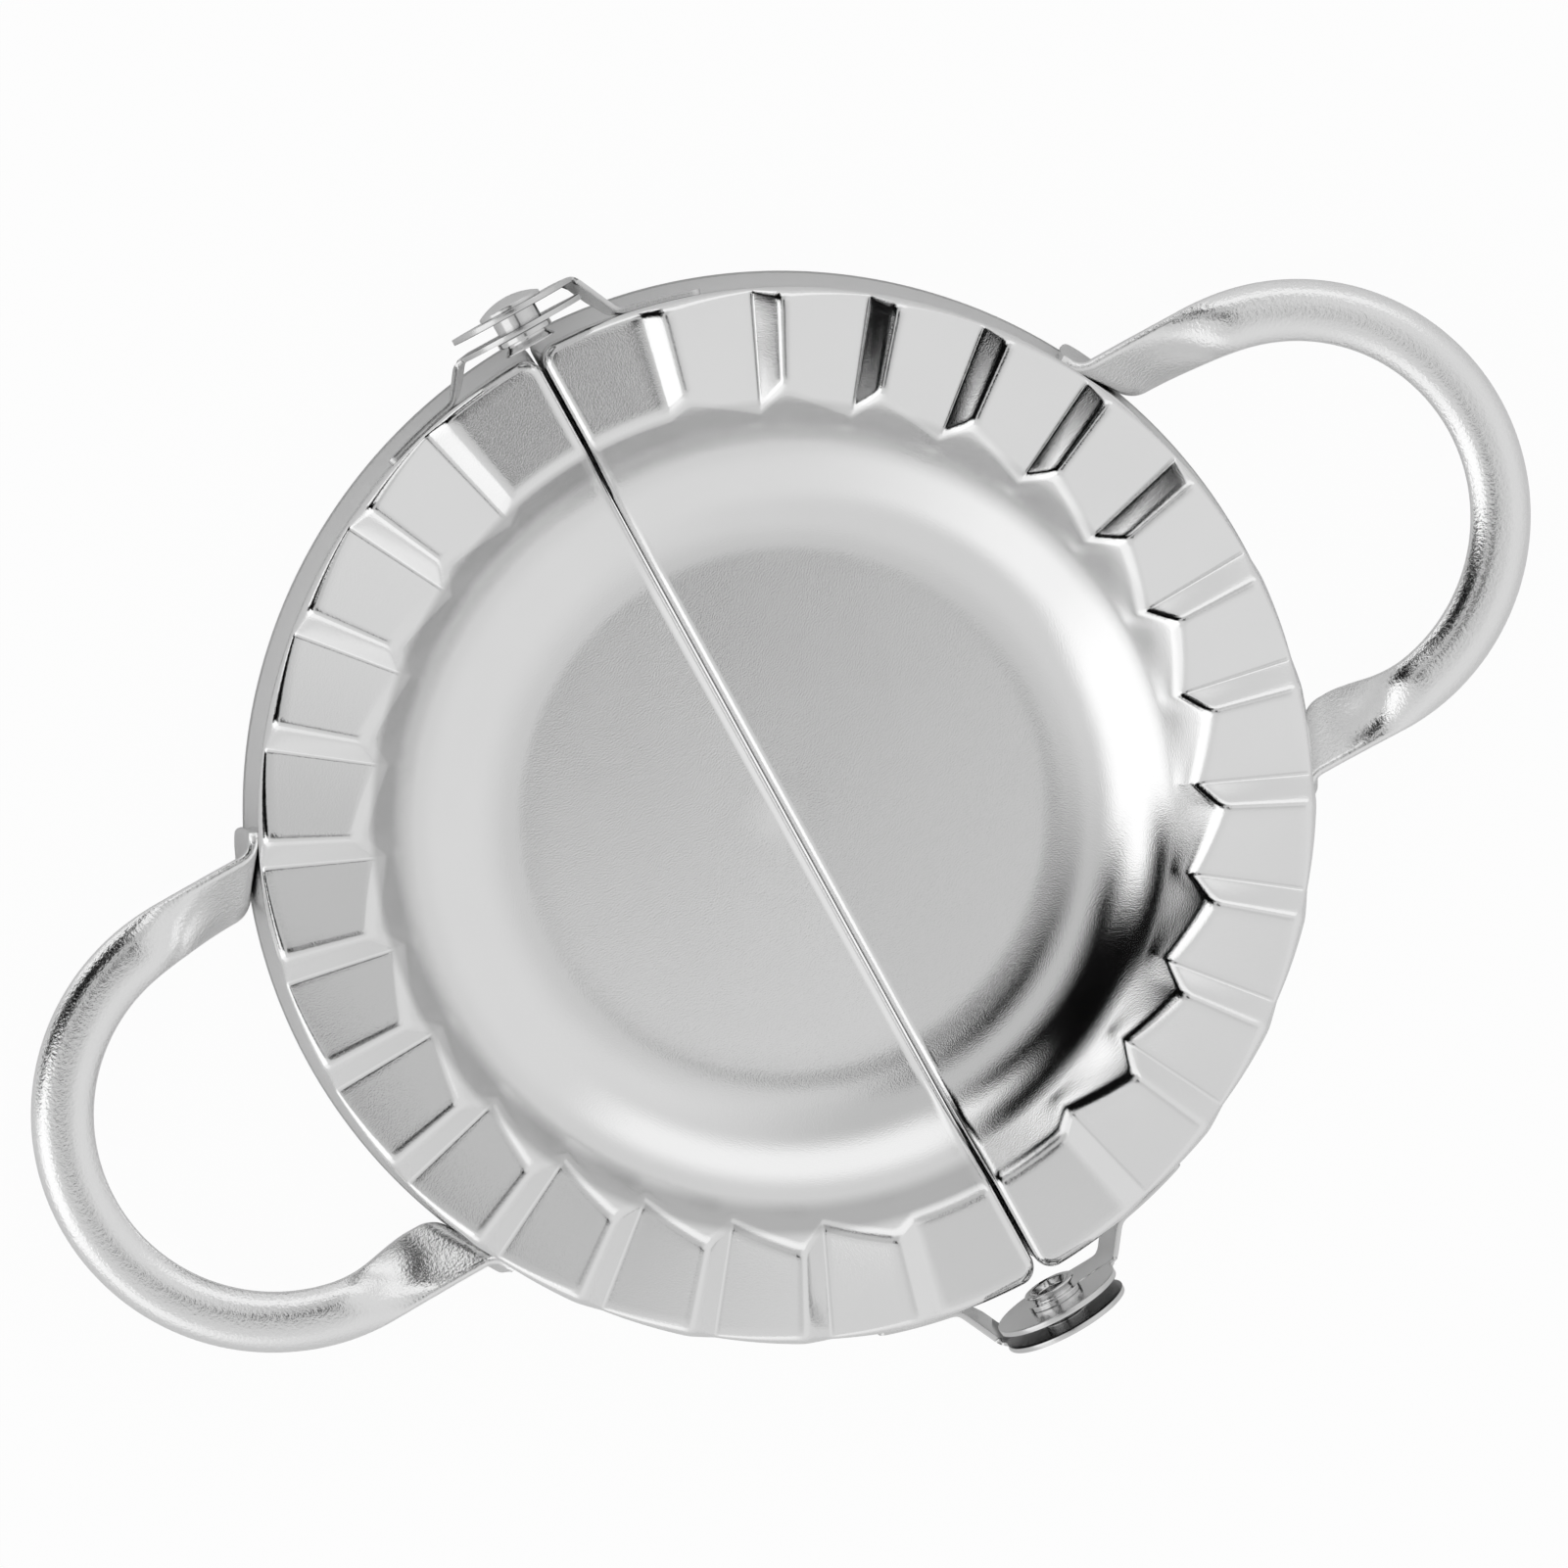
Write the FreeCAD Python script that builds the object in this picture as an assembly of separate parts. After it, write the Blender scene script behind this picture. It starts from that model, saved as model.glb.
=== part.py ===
"""Empanada press: two stamped half dies on a riveted hinge line, each with a strip handle.

The hinge line runs along Y, the two halves lie open at +X and -X, and Z is up.
The press rests on the lower edges of its skirts, in the plane Z = 0.
Both halves are the same, so the left one is the right one turned half a turn about Z.
"""
import FreeCAD
import Part
import math
import os

# Stamped die, in millimetres
DIE_R = 47.5
DIE_HEIGHT = 11.0
DIE_SHEET = 0.6
DIE_GAP = 0.25
CORNER_R = 1.75
FLARE_HEIGHT = 5.0
FLARE_OUT = 1.5

# Toothed rim
TEETH = 12
TOOTH_RISE = 1.05
LAND_SHEET = 0.65
LAND_INNER_R = 37.8
HALF_TURN = 180.0
END_LAND_ANGLE = 11.8
FIRST_VALLEY_ANGLE = 14.6
TOOTH_SLOPE_SHARE = 0.757

# Dish
WALL_DROP = 3.0
WALL_IN = 2.6
DISH_DROP = 5.0
DISH_FLAT_R = 23.5

# Hinge
AXIS_RISE = 0.2
BRACKET_SHEET = 0.5
BRACKET_OFF_SKIRT = 0.75
EAR_R = 5.9
EAR_GAP = 1.2
HINGE_HOLE_CLEARANCE = 0.06
TAB_BELOW_LAND = 1.9
TAB_LENGTH = 7.4
OUTER_LEG_PAST_EAR = 0.25
INNER_LEG_PAST_EAR = 0.55
LEG_RUN = 2.2
LEG_HEIGHT = 4.5
LEG_LEAN = 0.8

# Rivets
RIVET_R = 2.1
RIVET_HEAD_R = 2.95
RIVET_HEAD_HEIGHT = 1.1
RIVET_HEAD_EDGE = 0.35
RIVET_PLAY = 0.12
COLLAR_R = 2.6
COLLAR_HEIGHT = 0.5
TUBE_LENGTH = 1.4
TUBE_NECK_R = 2.0
TUBE_FLARE_R = 2.5
TUBE_BORE_R = 1.5
TUBE_BORE_DEPTH = 2.2

# Handles: the strip is described at five levels across it, from its outer to its inner edge
STRIP = 0.95
STRIP_WIDTH = 5.0
STRIP_ARCH = 1.2
LEVEL_SHARES = [0, 0.14, 0.5, 0.86, 1]
ARCH_SHARES = [0, 0.66, 1, 0.66, 0]
LOOP_R = 19.0
LOOP_OFF_SKIRT = 5.75
LOOP_SKEW = 1.0
LOOP_Z = 6.0
FOOT_WIDTH = 5.2
FOOT_Z = 2.95
FOOT_CLEARANCE = 0.04
FOOT_TAB = 1.9
FOOT_BEND = 2.2
FOOT_STEPS = 3
BEND_STEPS = 4
ARM_STEPS = 4
LOOP_STEPS = 14

# Room that a cutting tool needs past the surface it cuts
OVERRUN = 3.0

OUT_FOLDER = "parts"
UP = FreeCAD.Vector(0, 0, 1)
ORIGIN = FreeCAD.Vector(0, 0, 0)

LAND_Z = DIE_HEIGHT
AXIS_Z = LAND_Z + AXIS_RISE
RIDGE_Z = LAND_Z + TOOTH_RISE
CREASE_R = LAND_INNER_R - WALL_IN
CREASE_Z = LAND_Z - WALL_DROP
DISH_Z = CREASE_Z - DISH_DROP
EDGE_X = DIE_GAP / 2
FOOT_R = DIE_R + FLARE_OUT
INNER_EAR_Y = FOOT_R + BRACKET_OFF_SKIRT
OUTER_EAR_Y = INNER_EAR_Y + BRACKET_SHEET + EAR_GAP
LOOP_CENTRE_X = DIE_R + LOOP_OFF_SKIRT


def skirt_radius(z):
    """Outside radius of the skirt at height z: straight above the flare, wider below."""
    return DIE_R + FLARE_OUT * max(FLARE_HEIGHT - z, 0) / FLARE_HEIGHT


def half_outline(z, inset):
    """Closed half-round outline with rounded corners, drawn in by inset, at height z."""
    radius = skirt_radius(z) - inset
    edge_x = EDGE_X + inset
    corner = CORNER_R - inset
    corner_x = edge_x + corner
    corner_y = math.sqrt((radius - corner) ** 2 - corner_x ** 2)
    lean = math.atan2(corner_y, corner_x)
    touch_x = radius * math.cos(lean)
    touch_y = radius * math.sin(lean)
    turn = (math.pi + lean) / 2
    mid_x = corner_x + corner * math.cos(turn)
    mid_y = corner_y + corner * math.sin(turn)

    def at(x, y):
        return FreeCAD.Vector(x, y, z)

    edges = [
        Part.Arc(at(touch_x, -touch_y), at(radius, 0), at(touch_x, touch_y)).toShape(),
        Part.Arc(at(touch_x, touch_y), at(mid_x, mid_y), at(edge_x, corner_y)).toShape(),
        Part.makeLine(at(edge_x, corner_y), at(edge_x, -corner_y)),
        Part.Arc(at(edge_x, -corner_y), at(mid_x, -mid_y), at(touch_x, -touch_y)).toShape(),
    ]
    return Part.Wire(edges)


def half_cup(heights, inset):
    """Solid through the half-round outlines at the given heights."""
    return Part.makeLoft([half_outline(z, inset) for z in heights], True, True)


def turned_air(edges):
    """Solid of revolution about Z from the edges of a closed half profile."""
    face = Part.Face(Part.Wire(edges))
    return face.revolve(ORIGIN, UP, 2 * HALF_TURN)


def wall_air(offset):
    """Room inside the straight wall under the rim, its side moved out by offset."""
    rise = OVERRUN + RIDGE_Z - CREASE_Z
    wall = math.hypot(WALL_IN, WALL_DROP)
    foot = FreeCAD.Vector(CREASE_R + WALL_DROP / wall * offset, 0,
                          CREASE_Z - WALL_IN / wall * offset)
    top = foot + FreeCAD.Vector(WALL_IN * rise / WALL_DROP, 0, rise)
    low_axis = FreeCAD.Vector(0, 0, foot.z)
    high_axis = FreeCAD.Vector(0, 0, top.z)
    return turned_air([
        Part.makeLine(low_axis, foot),
        Part.makeLine(foot, top),
        Part.makeLine(top, high_axis),
        Part.makeLine(high_axis, low_axis),
    ])


def bowl_air(offset):
    """Room over the dish: a flat floor and a tangent bend up to the wall, moved out by offset."""
    reach = CREASE_R - DISH_FLAT_R
    bend = (reach ** 2 + DISH_DROP ** 2) / (2 * DISH_DROP)
    sweep = math.acos(1 - DISH_DROP / bend)
    centre = FreeCAD.Vector(DISH_FLAT_R, 0, DISH_Z + bend)

    def on_bend(angle):
        return centre + FreeCAD.Vector(math.sin(angle), 0, -math.cos(angle)) * (bend + offset)

    rim = on_bend(sweep)
    lip = rim + UP * (WALL_DROP / 4)
    floor = FreeCAD.Vector(0, 0, DISH_Z - offset)
    lid = FreeCAD.Vector(0, 0, lip.z)
    return turned_air([
        Part.makeLine(floor, on_bend(0)),
        Part.Arc(on_bend(0), on_bend(sweep / 2), rim).toShape(),
        Part.makeLine(rim, lip),
        Part.makeLine(lip, lid),
        Part.makeLine(lid, floor),
    ])


def tooth_line():
    """Angles from the hinge line and heights of the rim: end land, saw teeth, end land."""
    pitch = (HALF_TURN - 2 * FIRST_VALLEY_ANGLE) / (TEETH - 1 + TOOTH_SLOPE_SHARE)
    line = [(-END_LAND_ANGLE, LAND_Z), (END_LAND_ANGLE, LAND_Z)]
    for tooth in range(TEETH):
        valley = FIRST_VALLEY_ANGLE + tooth * pitch
        line.append((valley, LAND_Z - TOOTH_RISE))
        line.append((valley + pitch * TOOTH_SLOPE_SHARE, RIDGE_Z))
    line.append((HALF_TURN - END_LAND_ANGLE, LAND_Z))
    line.append((HALF_TURN + END_LAND_ANGLE, LAND_Z))
    return line


def tooth_air(drop):
    """Solid of the room over the toothed rim, its saw line lowered by drop."""
    inner = DISH_FLAT_R
    outer = FOOT_R + OVERRUN
    top = RIDGE_Z + OVERRUN
    wires = []
    for angle, height in tooth_line():
        turn = math.radians(angle - HALF_TURN / 2)
        ray = FreeCAD.Vector(math.cos(turn), math.sin(turn), 0)
        low = UP * (height - drop)
        high = UP * top
        corners = [ray * inner + low, ray * outer + low, ray * outer + high, ray * inner + high]
        wires.append(Part.makePolygon(corners + corners[:1]))
    return Part.makeLoft(wires, True, True)


def make_die():
    """One stamped half: skirt, straight wall, toothed rim and dish in one sheet."""
    outside = half_cup([0, FLARE_HEIGHT, RIDGE_Z + OVERRUN], 0)
    outside = outside.cut(tooth_air(0)).cut(wall_air(0)).cut(bowl_air(0))
    inside = half_cup([-OVERRUN, FLARE_HEIGHT, RIDGE_Z + OVERRUN], DIE_SHEET)
    inside = inside.cut(tooth_air(LAND_SHEET))
    inside = inside.cut(wall_air(DIE_SHEET)).cut(bowl_air(DIE_SHEET))
    return outside.cut(inside)


def leaning_plate(start, end, thickness, down):
    """Plate between two points of its upper edge, thickness centred, its sides running down."""
    along = end - start
    side = FreeCAD.Vector(-along.y, along.x, 0).normalize() * (thickness / 2)
    corners = [start + side, end + side, end - side, start - side]
    face = Part.Face(Part.makePolygon(corners + corners[:1]))
    return face.extrude(down)


def leaning_rod(top, radius, down):
    """Rod that rounds the outside of a bend, its axis running down from a point."""
    return Part.Face(Part.Wire(Part.makeCircle(radius, top))).extrude(down)


def make_bracket(ear_y, leg_past_ear):
    """Hinge bracket at the +Y end: a tab on the skirt, a leaning leg out of it and a round ear."""
    half = BRACKET_SHEET / 2
    leg_x = EAR_R + leg_past_ear
    tab_from = leg_x + LEG_RUN
    low = max(AXIS_Z - EAR_R, FLARE_HEIGHT)
    high = LAND_Z - TAB_BELOW_LAND
    leg_low = high - LEG_HEIGHT
    height = high - low
    mid_r = DIE_R + half
    tab_start = FreeCAD.Vector(tab_from, math.sqrt(mid_r ** 2 - tab_from ** 2), high)
    bend = FreeCAD.Vector(leg_x, ear_y + half, high)
    down = FreeCAD.Vector(-LEG_LEAN, 0, -LEG_HEIGHT)
    leg = leaning_plate(tab_start, bend, BRACKET_SHEET, down)
    for corner in (tab_start, bend):
        leg = leg.fuse(leaning_rod(corner, half, down))
    leg = leg.cut(half_cup([0, FLARE_HEIGHT, RIDGE_Z + OVERRUN], 0))
    ring = Part.makeCylinder(DIE_R + BRACKET_SHEET, height, UP * low)
    ring = ring.cut(Part.makeCylinder(DIE_R, height, UP * low))
    tab = ring.common(Part.makeBox(TAB_LENGTH, FOOT_R, height, FreeCAD.Vector(tab_from, 0, low)))
    inward = FreeCAD.Vector(0, 1, 0)
    disc = Part.makeCylinder(EAR_R, BRACKET_SHEET, FreeCAD.Vector(0, ear_y, AXIS_Z), inward)
    corners = [
        FreeCAD.Vector(0, ear_y, high),
        FreeCAD.Vector(leg_x, ear_y, high),
        FreeCAD.Vector(leg_x - LEG_LEAN, ear_y, leg_low),
        FreeCAD.Vector(0, ear_y, AXIS_Z - EAR_R),
    ]
    arm = Part.Face(Part.makePolygon(corners + corners[:1])).extrude(inward * BRACKET_SHEET)
    shape = tab.fuse(leg).fuse(disc).fuse(arm)
    hole_at = FreeCAD.Vector(0, ear_y - OVERRUN, AXIS_Z)
    hole = Part.makeCylinder(RIVET_R + HINGE_HOLE_CLEARANCE, 2 * OVERRUN, hole_at, inward)
    return shape.cut(hole).removeSplitter()


def make_rivet(seat):
    """Hinge rivet at the +Y end; seat moves it out along the hinge line."""
    grip = OUTER_EAR_Y + BRACKET_SHEET - INNER_EAR_Y + RIVET_PLAY
    collar_out = INNER_EAR_Y - RIVET_PLAY + seat
    head_in = collar_out + grip
    collar_in = collar_out - COLLAR_HEIGHT
    tube_end = collar_out - TUBE_LENGTH
    dome_r = (RIVET_HEAD_R ** 2 + (RIVET_HEAD_HEIGHT - RIVET_HEAD_EDGE) ** 2) \
        / (2 * (RIVET_HEAD_HEIGHT - RIVET_HEAD_EDGE))
    head_out = head_in + RIVET_HEAD_HEIGHT
    half_lean = math.asin(RIVET_HEAD_R / dome_r) / 2
    dome_mid_r = dome_r * math.sin(half_lean)
    dome_mid_y = head_out - dome_r * (1 - math.cos(half_lean))

    def at(radius, y):
        return FreeCAD.Vector(radius, y, AXIS_Z)

    edges = [
        Part.makeLine(at(0, tube_end + TUBE_BORE_DEPTH), at(TUBE_BORE_R, tube_end + TUBE_BORE_DEPTH)),
        Part.makeLine(at(TUBE_BORE_R, tube_end + TUBE_BORE_DEPTH), at(TUBE_BORE_R, tube_end)),
        Part.makeLine(at(TUBE_BORE_R, tube_end), at(TUBE_FLARE_R, tube_end)),
        Part.makeLine(at(TUBE_FLARE_R, tube_end), at(TUBE_NECK_R, collar_in)),
        Part.makeLine(at(TUBE_NECK_R, collar_in), at(COLLAR_R, collar_in)),
        Part.makeLine(at(COLLAR_R, collar_in), at(COLLAR_R, collar_out)),
        Part.makeLine(at(COLLAR_R, collar_out), at(RIVET_R, collar_out)),
        Part.makeLine(at(RIVET_R, collar_out), at(RIVET_R, head_in)),
        Part.makeLine(at(RIVET_R, head_in), at(RIVET_HEAD_R, head_in)),
        Part.makeLine(at(RIVET_HEAD_R, head_in), at(RIVET_HEAD_R, head_in + RIVET_HEAD_EDGE)),
        Part.Arc(at(RIVET_HEAD_R, head_in + RIVET_HEAD_EDGE), at(dome_mid_r, dome_mid_y),
                 at(0, head_out)).toShape(),
        Part.makeLine(at(0, head_out), at(0, tube_end + TUBE_BORE_DEPTH)),
    ]
    face = Part.Face(Part.Wire(edges))
    return face.revolve(FreeCAD.Vector(0, 0, AXIS_Z), FreeCAD.Vector(0, 1, 0), 2 * HALF_TURN)


def foot_rail(level, side):
    """Mid-line of the strip at one level, from a foot's end on the skirt to the loop's start.

    The foot lies on the skirt, turns off it through a bend and runs out as a straight arm.
    """
    foot_z = FOOT_Z + FOOT_WIDTH * (0.5 - level)
    slant = math.atan2(FLARE_OUT, FLARE_HEIGHT) if foot_z < FLARE_HEIGHT else 0
    on_skirt = skirt_radius(foot_z) + (FOOT_CLEARANCE + STRIP / 2) / math.cos(slant)
    skew = LOOP_SKEW * side
    arm_y = skew + LOOP_R + STRIP_WIDTH * (0.5 - level)
    outer_y = skew + LOOP_R + STRIP_WIDTH / 2
    tab_end = math.asin((outer_y + FOOT_TAB) / (DIE_R + STRIP))
    turn_r = on_skirt + FOOT_BEND
    turn_y = arm_y + FOOT_BEND
    turn_x = math.sqrt(turn_r ** 2 - turn_y ** 2)
    leave = math.atan2(turn_y, turn_x)

    def loop_z(share):
        arch = STRIP_ARCH * ARCH_SHARES[LEVEL_SHARES.index(level)]
        return foot_z + (LOOP_Z + arch - foot_z) * share ** 2 * (3 - 2 * share)

    points = []
    for step in range(FOOT_STEPS):
        angle = tab_end + (leave - tab_end) * step / FOOT_STEPS
        points.append((on_skirt * math.cos(angle), on_skirt * math.sin(angle), foot_z))
    for step in range(BEND_STEPS + 1):
        angle = math.pi + leave + (math.pi / 2 - leave) * step / BEND_STEPS
        points.append((turn_x + FOOT_BEND * math.cos(angle),
                       turn_y + FOOT_BEND * math.sin(angle), foot_z))
    for step in range(1, ARM_STEPS + 1):
        share = step / ARM_STEPS
        points.append((turn_x + (LOOP_CENTRE_X - turn_x) * share, arm_y, loop_z(share)))
    return [FreeCAD.Vector(x, y * side, z) for x, y, z in points]


def loop_rail(level):
    """Mid-line of the strip at one level round the loop, between its two arms."""
    radius = LOOP_R + STRIP_WIDTH * (0.5 - level)
    height = LOOP_Z + STRIP_ARCH * ARCH_SHARES[LEVEL_SHARES.index(level)]
    points = []
    for step in range(1, LOOP_STEPS):
        angle = math.pi * (0.5 - step / LOOP_STEPS)
        points.append(FreeCAD.Vector(LOOP_CENTRE_X + radius * math.cos(angle),
                                     LOOP_SKEW + radius * math.sin(angle), height))
    return points


def make_handle():
    """Strip handle: an arched U-shaped loop whose strip turns upright at its two welded feet."""
    rails = []
    for level in LEVEL_SHARES:
        rails.append(foot_rail(level, 1) + loop_rail(level) + foot_rail(level, -1)[::-1])
    wires = []
    last_place = len(rails[0]) - 1
    last_row = len(rails) - 1
    for place in range(last_place + 1):
        upper = []
        lower = []
        for row in range(last_row + 1):
            if place in (0, last_place):
                along = rails[row][place].cross(UP)
            else:
                along = rails[row][place + 1] - rails[row][place - 1]
            across = rails[min(row + 1, last_row)][place] - rails[max(row - 1, 0)][place]
            skin = across.cross(along).normalize() * (STRIP / 2)
            upper.append(rails[row][place] + skin)
            lower.append(rails[row][place] - skin)
        ring = upper + lower[::-1]
        wires.append(Part.makePolygon(ring + ring[:1]))
    return Part.makeLoft(wires, True, True)


def turned(shape):
    """The same piece on the other half of the press."""
    copy = shape.copy()
    copy.rotate(ORIGIN, UP, HALF_TURN)
    return copy


def flipped(shape):
    """The same piece, mirrored to the other end of the hinge line."""
    return shape.mirror(ORIGIN, FreeCAD.Vector(0, 1, 0))


def make_pieces():
    """Every piece of the press by name."""
    die = make_die()
    handle = make_handle()
    outer_bracket = make_bracket(OUTER_EAR_Y, OUTER_LEG_PAST_EAR)
    inner_bracket = flipped(make_bracket(INNER_EAR_Y, INNER_LEG_PAST_EAR))
    right = {
        "die": die,
        "handle": handle,
        "outer_bracket": outer_bracket,
        "inner_bracket": inner_bracket,
    }
    pieces = {}
    for name, shape in right.items():
        pieces["right_" + name] = shape
        pieces["left_" + name] = turned(shape)
    pieces["far_rivet"] = make_rivet(0)
    pieces["near_rivet"] = flipped(make_rivet(RIVET_PLAY))
    return pieces


def main():
    """Build, check and write every piece."""
    os.makedirs(OUT_FOLDER, exist_ok=True)
    for name, shape in make_pieces().items():
        solid = shape.Solids[0] if len(shape.Solids) == 1 else shape
        box = solid.BoundBox
        print(name, "solids", len(shape.Solids), "valid", shape.isValid(),
              "volume %.1f" % shape.Volume,
              "box %.2f %.2f %.2f to %.2f %.2f %.2f" % (
                  box.XMin, box.YMin, box.ZMin, box.XMax, box.YMax, box.ZMax))
        solid.exportStep(os.path.join(OUT_FOLDER, name + ".step"))


main()
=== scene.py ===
"""Looks of an empanada press: two stamped half dies, strip handles, hinge brackets and rivets.

Lengths in the classes are millimetres; PieceMesh turns them into metres.
The hinge line runs along Y, the halves lie open at +X and -X, and Z is up.
"""

import logging
import math
from dataclasses import dataclass
from enum import Enum

import bpy
import numpy as np
from mathutils import Matrix, Vector


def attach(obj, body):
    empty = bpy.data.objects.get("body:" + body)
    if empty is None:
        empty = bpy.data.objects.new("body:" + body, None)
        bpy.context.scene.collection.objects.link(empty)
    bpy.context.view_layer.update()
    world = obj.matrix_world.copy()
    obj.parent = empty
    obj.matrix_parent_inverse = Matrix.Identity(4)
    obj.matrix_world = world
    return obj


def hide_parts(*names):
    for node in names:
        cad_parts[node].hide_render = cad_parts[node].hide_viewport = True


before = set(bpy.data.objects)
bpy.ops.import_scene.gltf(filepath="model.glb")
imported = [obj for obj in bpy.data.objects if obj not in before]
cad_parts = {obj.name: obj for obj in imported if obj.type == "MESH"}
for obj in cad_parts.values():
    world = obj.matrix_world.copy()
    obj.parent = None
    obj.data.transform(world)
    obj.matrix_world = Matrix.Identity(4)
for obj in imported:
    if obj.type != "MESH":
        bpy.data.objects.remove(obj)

LOG = logging.getLogger("empanada_press")
MM = 0.001
Array = np.ndarray


class Half(Enum):
    """Which half of the press a piece belongs to."""

    RIGHT = "right"
    LEFT = "left"

    @property
    def body(self) -> str:
        """Name of the body that the half's pieces ride on."""
        return self.value + "_half"

    def place(self, points: Array) -> Array:
        """Points as made for the right half, turned by 180 degrees about Z for the left."""
        return points if self is Half.RIGHT else points * np.array([-1.0, -1.0, 1.0])


def ease(value: Array, low: float, high: float) -> Array:
    """Smooth step from 0 at low to 1 at high: t squared times (3 - 2 t)."""
    t = np.clip((value - low) / (high - low), 0.0, 1.0)
    return t * t * (3.0 - 2.0 * t)


def soft_ramp(value: Array, width: Array | float) -> Array:
    """Ramp 0 for value < 0 and value above it, rounded by a parabola over +-width."""
    bowl = (value + width) ** 2 / (4.0 * width)
    return np.where(value <= -width, 0.0, np.where(value >= width, value, bowl))


def soft_min(a: Array, b: Array, width: float) -> Array:
    """Lower of two surfaces, blended by a parabola where they differ by less than width."""
    h = np.clip(0.5 + 0.5 * (b - a) / width, 0.0, 1.0)
    return b + (a - b) * h - width * h * (1.0 - h)


def smooth_path(corners: Array, step: float, window: float, passes: int = 2) -> Array:
    """Polyline resampled every step, with its corners rounded by a running mean over window.

    Args:
        corners: Points of the polyline, one per row.
        step: Distance between samples.
        window: Length of the running mean; the ends stay where they are.
        passes: How many times the mean is taken.

    Returns:
        The samples, at even distances.
    """
    path = resample(corners, step)
    half = max(int(window / step / 2), 1)
    kernel = np.ones(2 * half + 1) / (2 * half + 1)
    for _ in range(passes):
        before = path[0] + (path[0] - path[1]) * np.arange(half, 0, -1)[:, None]
        after = path[-1] + (path[-1] - path[-2]) * np.arange(1, half + 1)[:, None]
        padded = np.vstack([before, path, after])
        path = np.stack([np.convolve(axis, kernel, "valid") for axis in padded.T], axis=1)
    return resample(path, step)


def run_along(points: Array) -> Array:
    """Distance along a polyline to each of its points."""
    return np.concatenate([[0.0], np.cumsum(np.linalg.norm(np.diff(points, axis=0), axis=1))])


def resample(points: Array, step: float) -> Array:
    """Points at even distances of about step along a polyline."""
    run = run_along(points)
    at = np.linspace(0.0, run[-1], max(int(round(run[-1] / step)), 2) + 1)
    return np.stack([np.interp(at, run, axis) for axis in points.T], axis=1)


def bunched(count: int, share: float) -> Array:
    """Numbers from 0 to 1, closer together at both ends.

    Each is share * (0.5 - 0.5 cos(pi t)) + (1 - share) * t, with t at even distances.
    """
    even = np.linspace(0, 1, count)
    return (0.5 - 0.5 * np.cos(np.pi * even)) * share + even * (1 - share)


def ray(angle: Array) -> Array:
    """Plan directions at angles in radians: cos a, sin a."""
    return np.stack([np.cos(angle), np.sin(angle)], axis=-1)


def rounded_end(to_end: Array, radius: float, width: float) -> Array:
    """Share of its width that a strip keeps near an end with rounded corners.

    It is 1 - 2 r / w (1 - sqrt(1 - s squared)), where s falls from 1 at the end to 0 at r.
    """
    short = np.clip(1 - to_end / radius, 0, 1)
    return 1 - radius / (width / 2) * (1 - np.sqrt(1 - short ** 2))


def unit(vectors: Array) -> Array:
    """Vectors of length one."""
    return vectors / np.maximum(np.linalg.norm(vectors, axis=-1, keepdims=True), 1e-12)


def add_object(name: str, data: bpy.types.ID) -> bpy.types.Object:
    """Make an object of some data and link it to the scene."""
    made = bpy.data.objects.new(name, data)
    bpy.context.scene.collection.objects.link(made)
    return made


class PieceMesh:
    """Points and faces of one piece, gathered in millimetres."""

    def __init__(self) -> None:
        """Start with no points and no faces."""
        self.points: list[Array] = []
        self.faces: list[list[int]] = []
        self.count = 0

    def add(self, points: Array) -> Array:
        """Add points of any grid shape.

        Args:
            points: Array whose last axis is x, y, z.

        Returns:
            The points' numbers, in the grid's own shape.
        """
        flat = points.reshape(-1, 3)
        index = np.arange(self.count, self.count + len(flat))
        self.points.append(flat)
        self.count += len(flat)
        return index.reshape(points.shape[:-1])

    def grid(self, index: Array, flip: bool = False) -> None:
        """Quads between neighbouring rows and columns; the front is rows x columns."""
        a, b, c, d = index[:-1, :-1], index[1:, :-1], index[1:, 1:], index[:-1, 1:]
        order = (a, d, c, b) if flip else (a, b, c, d)
        quads = np.stack(order, axis=-1).reshape(-1, 4)
        self.faces.extend(quads.tolist())

    def tube(self, index: Array, flip: bool = False) -> Array:
        """Quads of a grid whose last column joins its first.

        Args:
            index: Numbers of the points, rows x columns.
            flip: Whether the faces turn the other way round.

        Returns:
            The numbers with the first column again at the end.
        """
        index = np.column_stack([index, index[:, 0]])
        self.grid(index, flip)
        return index

    def fan(self, centre: Array, ring: Array, flip: bool = False) -> None:
        """Triangles from one point to the edges of a row of points."""
        a, b = (ring[1:], ring[:-1]) if flip else (ring[:-1], ring[1:])
        tris = np.stack([np.full(len(a), centre), a, b], axis=-1)
        self.faces.extend(tris.tolist())

    def piece(self, name: str, half: Half) -> bpy.types.Object:
        """Make the piece's object, smooth shaded.

        Args:
            name: The piece's name.
            half: The half that it is placed on.

        Returns:
            The object, at the origin, with its place in its mesh.
        """
        points = half.place(np.vstack(self.points)) * MM
        mesh = bpy.data.meshes.new(name)
        mesh.from_pydata(points.tolist(), [], self.faces)
        mesh.validate()
        mesh.polygons.foreach_set("use_smooth", np.ones(len(mesh.polygons), bool))
        mesh.update()
        return add_object(name, mesh)


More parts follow.
